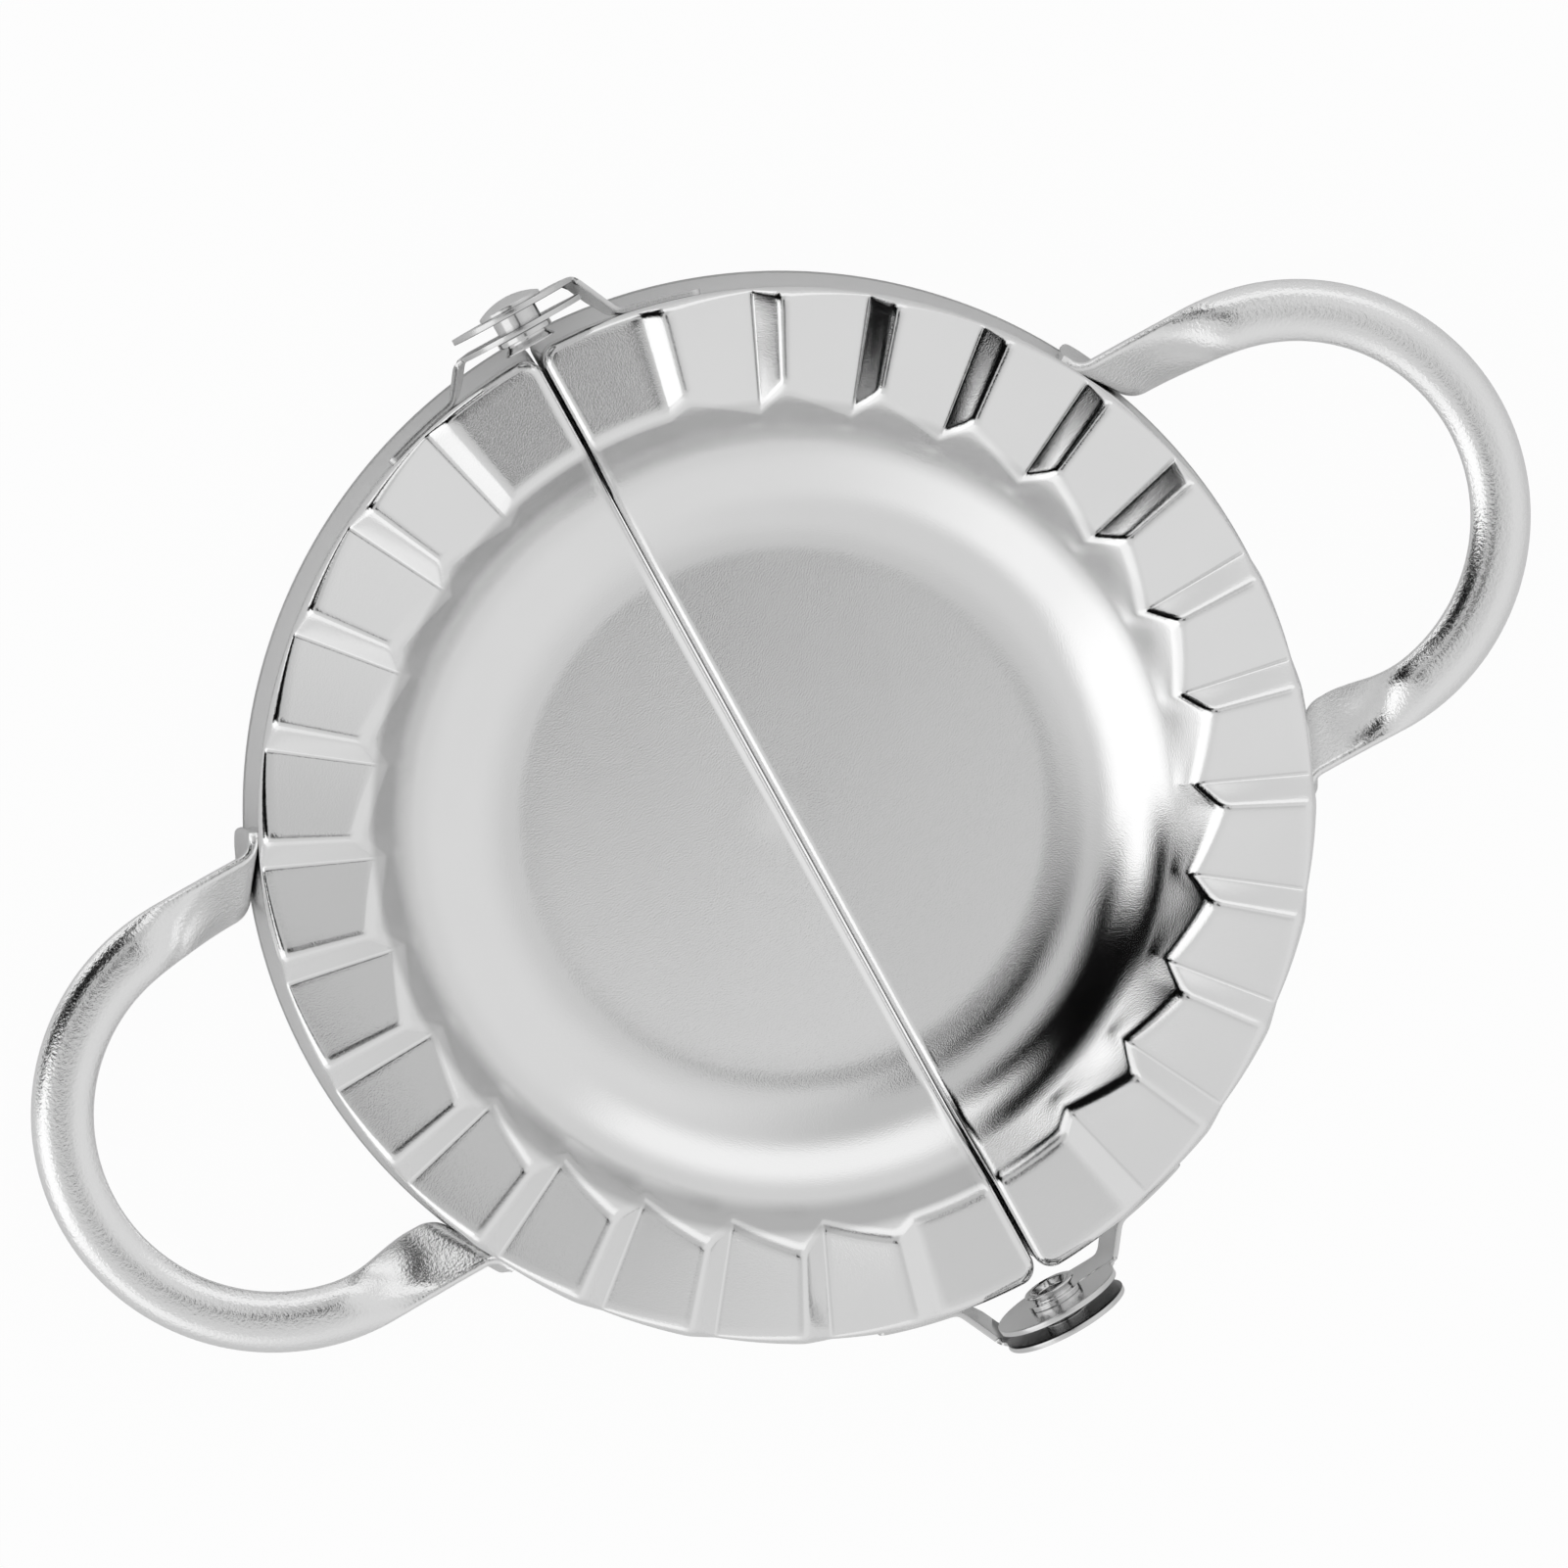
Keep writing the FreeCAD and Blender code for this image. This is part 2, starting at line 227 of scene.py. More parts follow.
@dataclass
class HalfDie:
    """One stamped half: dish, straight wall, toothed rim, rounded shoulder and skirt.

    Angles run from the near end of the hinge line, in degrees: 0 there, 180 at the far end.
    """

    radius: float = 47.5
    height: float = 11.0
    sheet: float = 0.6
    edge_x: float = 0.125
    corner: float = 1.75
    flare_height: float = 5.0
    flare_out: float = 1.5
    flare_round: float = 0.35
    teeth: int = 12
    tooth_rise: float = 1.05
    end_land_angle: float = 11.8
    first_valley_angle: float = 14.6
    tooth_slope_share: float = 0.757
    ridge_round: float = 0.5
    valley_round: float = 0.09
    land_round: float = 0.3
    crease_r: float = 34.9
    crease_z: float = 8.0
    wall_in: float = 2.9
    wall_drop: float = 3.0
    dish_drop: float = 4.85
    dish_flat_r: float = 23.5
    lip_round: float = 0.9
    facet: float = 0.07
    flange_bend: float = 0.95
    shoulder_low: float = 0.5
    shoulder_high: float = 1.35
    core_r: float = 18.0
    crease_band: float = 0.2
    lip_band: float = 0.75
    land_r: float = 42.0
    rim_r: float = 43.0
    fillet_rows: int = 7
    thin_share: float = 0.8

    @property
    def pitch(self) -> float:
        """Angle from one valley to the next."""
        return (180 - 2 * self.first_valley_angle) / (self.teeth - 1 + self.tooth_slope_share)

    def saw(self, angle: Array, reach: Array) -> Array:
        """Height of the toothed rim.

        The saw line is a sum of ramps, one per break, each rounded over a width in
        millimetres that is wider at a ridge than at a valley.

        Args:
            angle: Angles of the points.
            reach: Their radii.

        Returns:
            Their heights.
        """
        valleys = self.first_valley_angle + self.pitch * np.arange(self.teeth)
        ridges = valleys + self.pitch * self.tooth_slope_share
        at = np.concatenate([[self.end_land_angle], np.ravel(np.column_stack([valleys, ridges])),
                             [180 - self.end_land_angle]])
        rise = np.concatenate([[0.0], np.tile([-self.tooth_rise, self.tooth_rise], self.teeth),
                               [0.0]])
        slope = np.diff(rise) / np.diff(at)
        turn = np.diff(np.concatenate([[0.0], slope, [0.0]]))
        round_mm = np.where(turn > 0, self.valley_round, self.ridge_round)
        round_mm[[0, -1]] = self.land_round
        width = np.degrees(round_mm[:, None, None] / reach)
        ramps = soft_ramp(angle - at[:, None, None], width)
        return self.height + np.tensordot(turn, ramps, axes=1)

    def bowl(self, reach: Array) -> Array:
        """Height of dish and wall at a radius: flat floor, tangent bend, straight wall."""
        run = self.crease_r - self.dish_flat_r
        bend = (run ** 2 + self.dish_drop ** 2) / (2 * self.dish_drop)
        out = np.clip(reach - self.dish_flat_r, 0.0, run)
        dish = self.crease_z - self.dish_drop + bend - np.sqrt(bend ** 2 - out ** 2)
        wall = self.wall_drop / self.wall_in * np.maximum(reach - self.crease_r, 0.0)
        return dish + wall

    def breaks(self) -> Array:
        """Angles of the columns over the teeth, closer together beside each break."""
        land = bunched(13, 0.6)
        fall = bunched(9, 0.5)
        rise = self.tooth_slope_share
        tooth = np.concatenate([land[:-1] * rise, rise + fall[:-1] * (1 - rise)])
        saw = self.first_valley_angle \
            + self.pitch * (np.arange(self.teeth)[:, None] + tooth).ravel()
        start, end = self.end_land_angle, 180 - self.end_land_angle
        saw = saw[saw < end - 1e-6]
        lead = start + (self.first_valley_angle - start) * np.linspace(0, 1, 7)[:-1]
        return np.concatenate([lead, saw, [end]])

    def outline(self, radius: float, shares: Array) -> tuple[Array, Array]:
        """Half-round outline with rounded corners, and its outward directions.

        Each end land runs by its share of the way from the flange to the first break:
        round the corner's arc first, then along the big arc.

        Args:
            radius: Radius of the big arc.
            shares: Rising shares from 0 to 1 of the columns on an end land.

        Returns:
            Plan points and unit plan normals, one row per column.
        """
        centre = np.array([self.edge_x + self.corner, 0.0])
        centre[1] = -math.sqrt((radius - self.corner) ** 2 - centre[0] ** 2)
        lean = math.atan2(centre[1], centre[0])
        touch = lean + math.pi / 2
        last = math.radians(self.end_land_angle)
        arcs = np.array([self.corner * (math.pi + lean), radius * (last - touch)])
        run = shares * arcs.sum()
        on_corner = run < arcs[0]
        turn = np.where(on_corner, -math.pi + run / self.corner, lean + (run - arcs[0]) / radius)
        normal = ray(turn)
        start = np.where(on_corner[:, None], centre + self.corner * normal, radius * normal)
        saw_normal = ray(np.radians(self.breaks()[1:-1] - 90))
        return (np.vstack([start, radius * saw_normal, start[::-1] * [1, -1]]),
                np.vstack([normal, saw_normal, normal[::-1] * [1, -1]]))

    def shoulder(self, turn: Array, rim: Array) -> Array:
        """Radius of the bend from top to skirt.

        It grows with the rim's height, and on the end lands it eases to the flange's.

        Args:
            turn: Angle of each column.
            rim: Height of the rim there.

        Returns:
            The radius at each column.
        """
        low = self.height - self.tooth_rise
        bend = self.shoulder_low + (self.shoulder_high - self.shoulder_low) \
            * (rim - low) / (2 * self.tooth_rise)
        near_end = np.minimum(turn, 180 - turn) / self.end_land_angle
        return np.where(near_end < 1, self.flange_bend + (bend - self.flange_bend)
                        * ease(near_end, 0.1, 0.6), bend)

    def top(self, turn: Array, rim: Array, out_ring: Array) -> Array:
        """Rings over the top, from the middle of the flange out to the shoulder.

        The dish rings are round, those on the wall follow the lip, and the last ones meet
        the shoulder. The wall bulges under each tooth by 16 (u (1 - u)) squared.

        Args:
            turn: Angle of each column.
            rim: Height of the rim there.
            out_ring: Plan points where the shoulder's bend starts.

        Returns:
            Points, rings x columns.
        """
        pole_x = self.edge_x + self.flange_bend
        side = np.minimum(turn, 180 - turn)
        flat = np.linspace(0, 1, 6)[1:-1, None] * self.core_r
        dish = np.concatenate([[self.core_r, 20.5, 22.5],
                               np.linspace(self.dish_flat_r, self.crease_r, 27)[:-1],
                               self.crease_r + self.crease_band * np.linspace(-1, 1, 5)])
        lip = self.crease_r + (rim - self.crease_z) * self.wall_in / self.wall_drop
        wall = (self.crease_r + self.crease_band) + np.linspace(0, 1, 10)[1:, None] \
            * (lip - self.lip_band - self.crease_r - self.crease_band)
        band = lip + np.linspace(-self.lip_band, self.lip_band, 15)[1:, None]
        land = np.linspace(0, 1, 9)[1:, None] * (self.land_r - lip - self.lip_band) \
            + lip + self.lip_band
        reach = np.vstack([np.repeat(dish[:, None], len(turn), 1), wall, band, land])
        end_gap = np.degrees(np.arcsin(pole_x / reach))
        warped = end_gap + (self.end_land_angle - end_gap) * side / self.end_land_angle
        warped = np.where(side < self.end_land_angle, warped, side)
        warped = np.where(turn > 90, 180 - warped, warped)
        rings = reach[..., None] * ray(np.radians(warped - 90))
        pole = np.array([pole_x, 0.0])
        inner = pole + (rings[0] - pole) * (flat[:, :, None] / self.core_r)
        outer = rings[-1] + (out_ring - rings[-1]) * np.linspace(0, 1, 8)[1:, None, None]
        rings = np.concatenate([inner, rings, outer])
        reach = np.hypot(rings[..., 0], rings[..., 1])
        angle = np.degrees(np.arctan2(rings[..., 1], rings[..., 0])) + 90
        saw = self.saw(angle, np.maximum(reach, 20.0))
        bowl = self.bowl(reach)
        up_wall = np.clip((reach - self.crease_r) / (lip - self.crease_r), 0, 1)
        bowl = bowl + self.facet * (saw - self.height) * 16 * (up_wall * (1 - up_wall)) ** 2
        return np.dstack([rings, soft_min(saw, bowl, self.lip_round)])

    def skirt(self, loop: Array, away: Array, bend: Array, shares: Array) -> Array:
        """Rows down the sides: a quarter-round bend, a straight part and the flare.

        Args:
            loop: Points round the top's edge, along the flange and the shoulder.
            away: Plan directions away from the top at those points.
            bend: Radius of the bend at each of them.
            shares: Shares of the columns on an end land.

        Returns:
            Points, rows x places on the loop.
        """
        quarter = np.linspace(0, np.pi / 2, self.fillet_rows + 1)[1:, None]
        fillet = np.dstack([loop[:, :2] + away * (bend * np.sin(quarter))[..., None],
                            loop[:, 2] - bend * (1 - np.cos(quarter))])
        edge = fillet[-1]
        columns = 2 * len(shares) + len(self.breaks()) - 2
        flange = (len(loop) - columns + 1) // 2
        round_side = np.zeros(len(loop), bool)
        round_side[flange:flange + columns] = True
        first = np.minimum(edge[:, 2], self.flare_height + self.flare_round)
        rows = []
        for step in (*np.linspace(0, 1, 5)[1:], *(1 + np.linspace(0, 1, 8)[1:])):
            height = edge[:, 2] + (first - edge[:, 2]) * min(step, 1)
            height = height * (1 - max(step - 1, 0))
            drop = soft_ramp(self.flare_height - height, self.flare_round)
            wider = self.flare_out / self.flare_height * drop
            shift = edge[:, :2].copy()
            shift[round_side] = self.flared(wider[round_side], shares)
            shift[~round_side, 0] = self.edge_x
            rows.append(np.column_stack([shift, height]))
        return np.concatenate([fillet, np.array(rows)])

    @staticmethod
    def around(pole: Array, grid: Array) -> Array:
        """Pole and edge of the top in order: one flange side, the shoulder, the other side."""
        return np.concatenate([pole, grid[:, 0], grid[-1, 1:], grid[-2::-1, -1]])

    def build(self) -> PieceMesh:
        """Make the whole sheet: its outside, then its inside, joined along the lower edge.

        The inside is the outside moved in along its normals by the sheet's thickness.
        """
        corner_columns, land_columns, arc_share = 11, 9, 0.27
        shares = np.concatenate([np.linspace(0, arc_share, corner_columns)[:-1],
                                 np.linspace(arc_share, 1, land_columns)])
        plan, normal = self.outline(self.radius, shares)
        turn = self.breaks()
        turn = np.concatenate([shares * turn[0], turn[1:-1], 180 - shares[::-1] * turn[0]])
        rim = self.saw(turn[None, :], np.full((1, len(turn)), self.rim_r))[0]
        bend = self.shoulder(turn, rim)
        grid = self.top(turn, rim, plan - normal * bend[:, None])
        pole = np.array([[self.edge_x + self.flange_bend, 0.0, self.bowl(np.array(0.0))]])
        loop = self.around(pole, grid)
        to_flange = np.repeat([[-1.0, 0.0]], len(grid), 0)
        away = np.concatenate([to_flange[:1], to_flange, normal[1:-1], to_flange])
        flange_bend = np.full(len(grid), self.flange_bend)
        loop_bend = np.concatenate([flange_bend[:1], flange_bend, bend[1:-1], flange_bend])
        shell = self.skirt(loop, away, loop_bend, shares)

        mesh = PieceMesh()
        index = mesh.add(grid)
        pole_index = mesh.add(pole)
        mesh.fan(pole_index, index[0])
        mesh.grid(index)
        outside = mesh.tube(np.vstack([self.around(pole_index, index), mesh.add(shell)]))

        shell_n = self.normals(np.concatenate([loop[None], shell]), wrap=True)
        thin = np.minimum(self.sheet, loop_bend * self.thin_share)
        thicker = np.linspace(0, 1, self.fillet_rows)[:, None] ** 2
        depth = np.vstack([np.repeat(thin[None], self.fillet_rows, 0)
                           + (self.sheet - thin) * thicker,
                           np.full((len(shell) - self.fillet_rows, len(loop)), self.sheet)])
        in_shell = shell - shell_n[1:] * depth[..., None]
        in_shell[-1, :, 2] = 0.0
        in_grid = grid - self.normals(grid) * self.sheet
        in_grid[:, 0, :2] = grid[:, 0, :2]
        in_grid[:, -1, :2] = grid[:, -1, :2]
        in_index = mesh.add(in_grid)
        in_pole = mesh.add(pole - [[0, 0, self.sheet]])
        mesh.fan(in_pole, in_index[0], flip=True)
        mesh.grid(in_index, flip=True)
        inside = mesh.tube(np.vstack([self.around(in_pole, in_index), mesh.add(in_shell)]),
                           flip=True)
        mesh.grid(np.vstack([outside[-1], inside[-1]]))
        return mesh

    def flared(self, wider: Array, shares: Array) -> Array:
        """Round side of the outline, its big arc moved out by its own amount per column."""
        small = self.outline(self.radius, shares)[0]
        large = self.outline(self.radius + self.flare_out, shares)[0]
        return small + (large - small) * (wider / self.flare_out)[:, None]

    @staticmethod
    def normals(grid: Array, wrap: bool = False) -> Array:
        """Unit normals of a grid of points from its central differences."""
        rows = np.gradient(grid, axis=0)
        if wrap:
            wide = np.concatenate([grid[:, -1:], grid, grid[:, :1]], axis=1)
            columns = (wide[:, 2:] - wide[:, :-2]) / 2
        else:
            columns = np.gradient(grid, axis=1)
        return unit(np.cross(rows, columns))


@dataclass
class StripHandle:
    """U-shaped loop of arched strip whose two ends turn upright and lie on the skirt."""

    die_radius: float = HalfDie.radius
    flare_height: float = HalfDie.flare_height
    flare_out: float = HalfDie.flare_out
    flare_round: float = 0.3
    strip: float = 0.95
    width: float = 5.0
    arch: float = 1.2
    arch_power: float = 2.8
    loop_r: float = 19.0
    loop_off_skirt: float = 5.75
    skew: float = 1.0
    loop_z: float = 6.0
    foot_width: float = 5.2
    foot_clearance: float = 0.04
    foot_z: float = 2.95
    foot_tab: float = 1.9
    foot_bend: float = 2.2
    slant_ease: float = 0.4
    tab_round: float = 1.1
    end_round: float = 0.35
    arm_share: float = 0.62
    twist_on_loop: float = 4.5

    def twist(self, share: Array) -> Array:
        """Share of the twist from upright to flat: t cubed times (6 t squared - 15 t + 10)."""
        t = np.clip(share, 0.0, 1.0)
        return t ** 3 * (6.0 * t ** 2 - 15.0 * t + 10.0)

    def upright(self, level: Array) -> Array:
        """Height of the upright strip across its width."""
        return self.foot_z + self.foot_width * (0.5 - level)

    def foot_rail(self, level: Array, side: int) -> Array:
        """Mid-surface of one foot and arm: skirt arc, bend, then a straight arm.

        Args:
            level: Share of the way across the strip, from its outer to its inner edge.
            side: 1 for the +Y foot, -1 for the -Y one.

        Returns:
            Points, first axis along the strip and second across it.
        """
        foot_z = self.upright(level)
        below = soft_ramp(self.flare_height - foot_z, self.flare_round)
        skirt = self.die_radius + self.flare_out * below / self.flare_height
        slant = np.arctan(self.flare_out / self.flare_height) * ease(below, 0.0, self.slant_ease)
        on_skirt = skirt + (self.foot_clearance + self.strip / 2) / np.cos(slant)
        skew = self.skew * side
        arm_y = skew + self.loop_r + self.width * (0.5 - level)
        outer_y = skew + self.loop_r + self.width / 2
        tab_end = math.asin((outer_y + self.foot_tab) / (self.die_radius + self.strip))
        turn_y = arm_y + self.foot_bend
        turn_x = np.sqrt((on_skirt + self.foot_bend) ** 2 - turn_y ** 2)
        leave = np.arctan2(turn_y, turn_x)
        zero = (0 * level)[None]
        tab = np.linspace(0, 1, 22)[:-1, None] ** 1.3
        angle = tab_end + (leave - tab_end) * tab
        on_tab = np.dstack([on_skirt * np.cos(angle), on_skirt * np.sin(angle),
                            foot_z + zero * angle])
        angle = math.pi + leave + (math.pi / 2 - leave) * np.linspace(0, 1, 15)[:-1, None]
        on_bend = np.dstack([turn_x + self.foot_bend * np.cos(angle),
                             turn_y + self.foot_bend * np.sin(angle), foot_z + zero * angle])
        share = np.linspace(0, 1, 31)[:-1, None]
        centre_x = self.die_radius + self.loop_off_skirt
        climb = self.crown(level) - foot_z
        on_arm = np.dstack([turn_x + (centre_x - turn_x) * share, arm_y + zero * share,
                            foot_z + climb * self.twist(share * self.arm_share)])
        rail = np.concatenate([on_tab, on_bend, on_arm])
        return rail * np.array([1, side, 1])

    def crown(self, level: Array) -> Array:
        """Height of the arched strip across its width: a flat-topped arch."""
        return self.loop_z + self.arch * (1 - np.abs(2 * level - 1) ** self.arch_power)

    def build(self) -> PieceMesh:
        """Carry the strip's section along its rails: two skins and half-round edges."""
        columns = 25
        level = bunched(columns, 0.75)
        level = 0.5 + (level - 0.5) * (1 - 0.4 * self.strip / self.width)
        angle = np.pi / 2 - np.pi * np.linspace(0, 1, 97)[:, None]
        radius = self.loop_r + self.width * (0.5 - level)
        centre_x = self.die_radius + self.loop_off_skirt
        from_arm = self.loop_r * (np.pi / 2 - np.abs(angle)) / self.twist_on_loop
        flat = self.twist(self.arm_share + (1 - self.arm_share) * from_arm)
        foot_z = self.upright(level)
        loop = np.dstack([centre_x + radius * np.cos(angle), self.skew + radius * np.sin(angle),
                          foot_z + (self.crown(level) - foot_z) * flat])
        mid = np.concatenate([self.foot_rail(level, 1), loop, self.foot_rail(level, -1)[::-1]])
        across = np.gradient(mid, level, axis=1)
        skin = unit(np.cross(across, np.gradient(mid, axis=0)))
        edge_out = unit(across)

        middle = mid[:, columns // 2]
        run = run_along(middle)
        to_end = np.minimum(run, run[-1] - run)
        narrow = rounded_end(to_end, self.tab_round, self.foot_width)
        blunt = np.sqrt(1 - np.clip(1 - to_end / self.end_round, 0, 0.98) ** 2)
        middle = middle[:, None]
        mid = middle + (mid - middle) * narrow[:, None, None]
        half = (self.strip / 2 * blunt)[:, None, None]

        swing = np.linspace(0, np.pi, 9)[1:-1, None]
        ends = []
        for edge, way in ((-1, swing), (0, -swing[::-1])):
            base, side, push = (grid[:, [edge]] for grid in (mid, skin, edge_out))
            ends.append(base + half * (side * np.cos(way) + push * np.sin(way)))
        upper, lower = mid + skin * half, (mid - skin * half)[:, ::-1]
        tube = np.concatenate([upper, ends[0], lower, ends[1]], axis=1)
        mesh = PieceMesh()
        index = mesh.tube(mesh.add(tube), flip=True)
        for row, flip in ((0, True), (-1, False)):
            mesh.fan(mesh.add(tube[row].mean(axis=0)[None]), index[row], flip)
        return mesh


@dataclass
class HingeBracket:
    """Sheet bracket: a round ear on the hinge line, a leg and a tab on the skirt."""

    ear_y: float
    leg_past_ear: float
    end: int = 1
    die_radius: float = HalfDie.radius
    sheet: float = 0.5
    ear_r: float = 5.9
    hole_r: float = 2.16
    axis_z: float = 11.2
    tab_low: float = 5.3
    high: float = 9.1
    leg_height: float = 4.5
    leg_lean: float = 0.8
    leg_run: float = 2.2
    tab_length: float = 7.4
    inside_fillet: float = 1.0
    tab_round: float = 0.9
    skirt_gap: float = 0.015
    behind_ear: float = 9.0
    path_step: float = 0.05
    bend_window: float = 1.0

    @property
    def mid_r(self) -> float:
        """Radius of the tab's middle surface."""
        return self.die_radius + self.sheet / 2 + self.skirt_gap

    @property
    def leg_x(self) -> float:
        """Distance from the hinge line to the bend between ear and leg."""
        return self.ear_r + self.leg_past_ear

    def plan_path(self) -> Array:
        """Mid-line of the sheet in plan, from behind the ear to the tab's end."""
        tab_from = self.leg_x + self.leg_run
        ear_mid = self.ear_y + self.sheet / 2
        tab_x = np.linspace(tab_from, tab_from + self.tab_length, 30)
        tab = np.column_stack([tab_x, np.sqrt(self.mid_r ** 2 - tab_x ** 2)])
        corners = np.vstack([[-self.behind_ear, ear_mid], [self.leg_x, ear_mid], tab])
        return smooth_path(corners, self.path_step, self.bend_window)

    def lift(self, flat: Array) -> Array:
        """Wrap points of the flat blank round the plan path; past the ear the sheet leans.

        The lean moves a point towards the hinge line by its share of the leg's height.

        Args:
            flat: Points as distance along the sheet from the ear's centre, and height.

        Returns:
            The points in space, on the sheet's middle.
        """
        path = self.plan_path()
        run = run_along(path)
        run = run - np.interp(0.0, path[:, 0], run)
        x = np.interp(flat[..., 0], run, path[:, 0])
        y = np.interp(flat[..., 0], run, path[:, 1])
        share = np.clip((self.high - flat[..., 1]) / self.leg_height, 0.0, 1.0)
        lean = self.leg_lean * share * ease(flat[..., 0], self.ear_r * 0.6, self.leg_x)
        on_ring = np.sqrt(self.mid_r ** 2 - (x - lean) ** 2) - np.sqrt(self.mid_r ** 2 - x ** 2)
        y = y + on_ring * ease(x, self.leg_x + self.leg_run / 2, self.leg_x + self.leg_run)
        return np.stack([x - lean, y, flat[..., 1]], axis=-1)

    def reach(self) -> float:
        """Length of the sheet from the ear's centre to the tab's end."""
        path = self.plan_path()
        return float(run_along(path)[-1] + path[0, 0])

    def build(self) -> PieceMesh:
        """Polar rows round the rivet's hole out to the ear's edge, then rows along the strip.

        The ear's edge is the disc, a round inside corner and the strip's first column.
        """
        rows = 9
        centre = np.array([0.0, self.axis_z])
        fillet = self.inside_fillet
        rise = self.high + fillet - self.axis_z
        corner_x = math.sqrt((self.ear_r + fillet) ** 2 - rise ** 2)
        corner = np.array([corner_x, self.high + fillet])
        touch = math.atan2(rise, corner_x)
        sweep = np.linspace(touch, 1.5 * np.pi, 61)
        disc = centre + self.ear_r * ray(sweep)
        low = self.high - self.leg_height
        bottom = np.column_stack([np.linspace(0, corner_x, 13)[1:],
                                  np.linspace(self.axis_z - self.ear_r, low, 13)[1:]])
        cut = np.column_stack([np.full(rows - 1, corner_x),
                               np.linspace(low, self.high, rows)[1:]])
        inside = np.linspace(-np.pi / 2, -np.pi + touch, 9)[1:-1]
        curl = corner + fillet * ray(inside)
        rim = np.vstack([disc, bottom, cut, curl])
        hole = centre + self.hole_r * unit(rim - centre)
        flat = hole + (rim - hole) * np.linspace(0, 1, rows)[:, None, None]
        mesh = PieceMesh()
        polar = mesh.tube(mesh.add(self.lift(flat)))
        first = len(disc) + len(bottom) - 1
        end = self.reach()
        run = np.linspace(corner_x, end, 61)[1:]
        narrow = rounded_end(end - run, self.tab_round, self.high - self.tab_low)
        under = low + (self.tab_low - low) * ease(run, corner_x + 1.5, corner_x + 3.5)
        middle = (under + self.high) / 2
        height = middle + np.linspace(-0.5, 0.5, rows)[:, None] * (self.high - under) * narrow
        strip = np.dstack([run + 0 * height, height])
        strip_index = np.column_stack([polar[-1, first:first + rows],
                                       mesh.add(self.lift(strip))])
        mesh.grid(strip_index.T)
        return self.turned_to_end(mesh)

    def turned_to_end(self, mesh: PieceMesh) -> PieceMesh:
        """Mirror the sheet in Y for the bracket at the -Y end, and turn its faces round."""
        if self.end < 0:
            mesh.points = [p * np.array([1, -1, 1]) for p in mesh.points]
            mesh.faces = [face[::-1] for face in mesh.faces]
        return mesh


@dataclass
class HingeRivet:
    """Shoulder rivet with a domed head outside and a flared hollow end inside."""

    end: int
    seat: float
    ear_y: float = 49.75
    grip: float = 2.32
    play: float = 0.12
    axis_z: float = HingeBracket.axis_z
    shank_r: float = 2.1
    head_r: float = 2.95
    head_height: float = 1.1
    head_edge: float = 0.35
    collar_r: float = 2.6
    collar: float = 0.5
    tube: float = 1.4
    neck_r: float = 2.0
    flare_r: float = 2.5
    bore_r: float = 1.5
    bore_depth: float = 2.2
    bore_chamfer: float = 0.3
    mouth: float = 0.45
    mouth_depth: float = 0.55
    flare_edge: float = 0.12
    neck_length: float = 0.25

    def profile(self) -> Array:
        """Half section as radius and place along the hinge line, corners rounded."""
        collar_out = self.ear_y - self.play + self.seat
        head_in = collar_out + self.grip
        collar_in = collar_out - self.collar
        tube_end = collar_out - self.tube
        head_out = head_in + self.head_height
        dome = self.head_height - self.head_edge
        dome_r = (self.head_r ** 2 + dome ** 2) / (2 * dome)
        lean = np.linspace(math.asin(self.head_r / dome_r), 0, 12)
        cap = np.column_stack([dome_r * np.sin(lean), head_out - dome_r * (1 - np.cos(lean))])
        bottom = tube_end + self.bore_depth
        mouth_r = self.bore_r + self.mouth
        body = np.array([
            [0, bottom], [self.bore_r - 0.2, bottom], [self.bore_r, bottom - self.bore_chamfer],
            [self.bore_r, tube_end + self.mouth_depth], [mouth_r, tube_end + 0.03],
            [self.flare_r - 0.1, tube_end], [self.flare_r, tube_end + self.flare_edge],
            [self.neck_r, collar_in - self.neck_length], [self.neck_r, collar_in],
            [self.collar_r, collar_in], [self.collar_r, collar_out],
            [self.shank_r, collar_out], [self.shank_r, head_in], [self.head_r, head_in]])
        return smooth_path(np.vstack([body, cap]), step=0.035, window=0.12)

    def build(self) -> PieceMesh:
        """Turn the profile about the hinge line: x = r cos a, z = axis + r sin a."""
        line = self.profile()
        line[[0, -1], 0] = 0.0
        turn = np.linspace(0, 2 * np.pi, 65)[:-1]
        radius, along = line[1:-1, :1], line[1:-1, 1:]
        ring = np.dstack([radius * np.cos(turn), along + 0 * turn,
                          self.axis_z + radius * np.sin(turn)])
        ring[..., 1] *= self.end
        mesh = PieceMesh()
        index = mesh.tube(mesh.add(ring), flip=self.end < 0)
        for row, flip in ((0, self.end < 0), (-1, self.end > 0)):
            tip = mesh.add(np.array([[0.0, line[row, 1] * self.end, self.axis_z]]))
            mesh.fan(tip, index[row], flip)
        return mesh


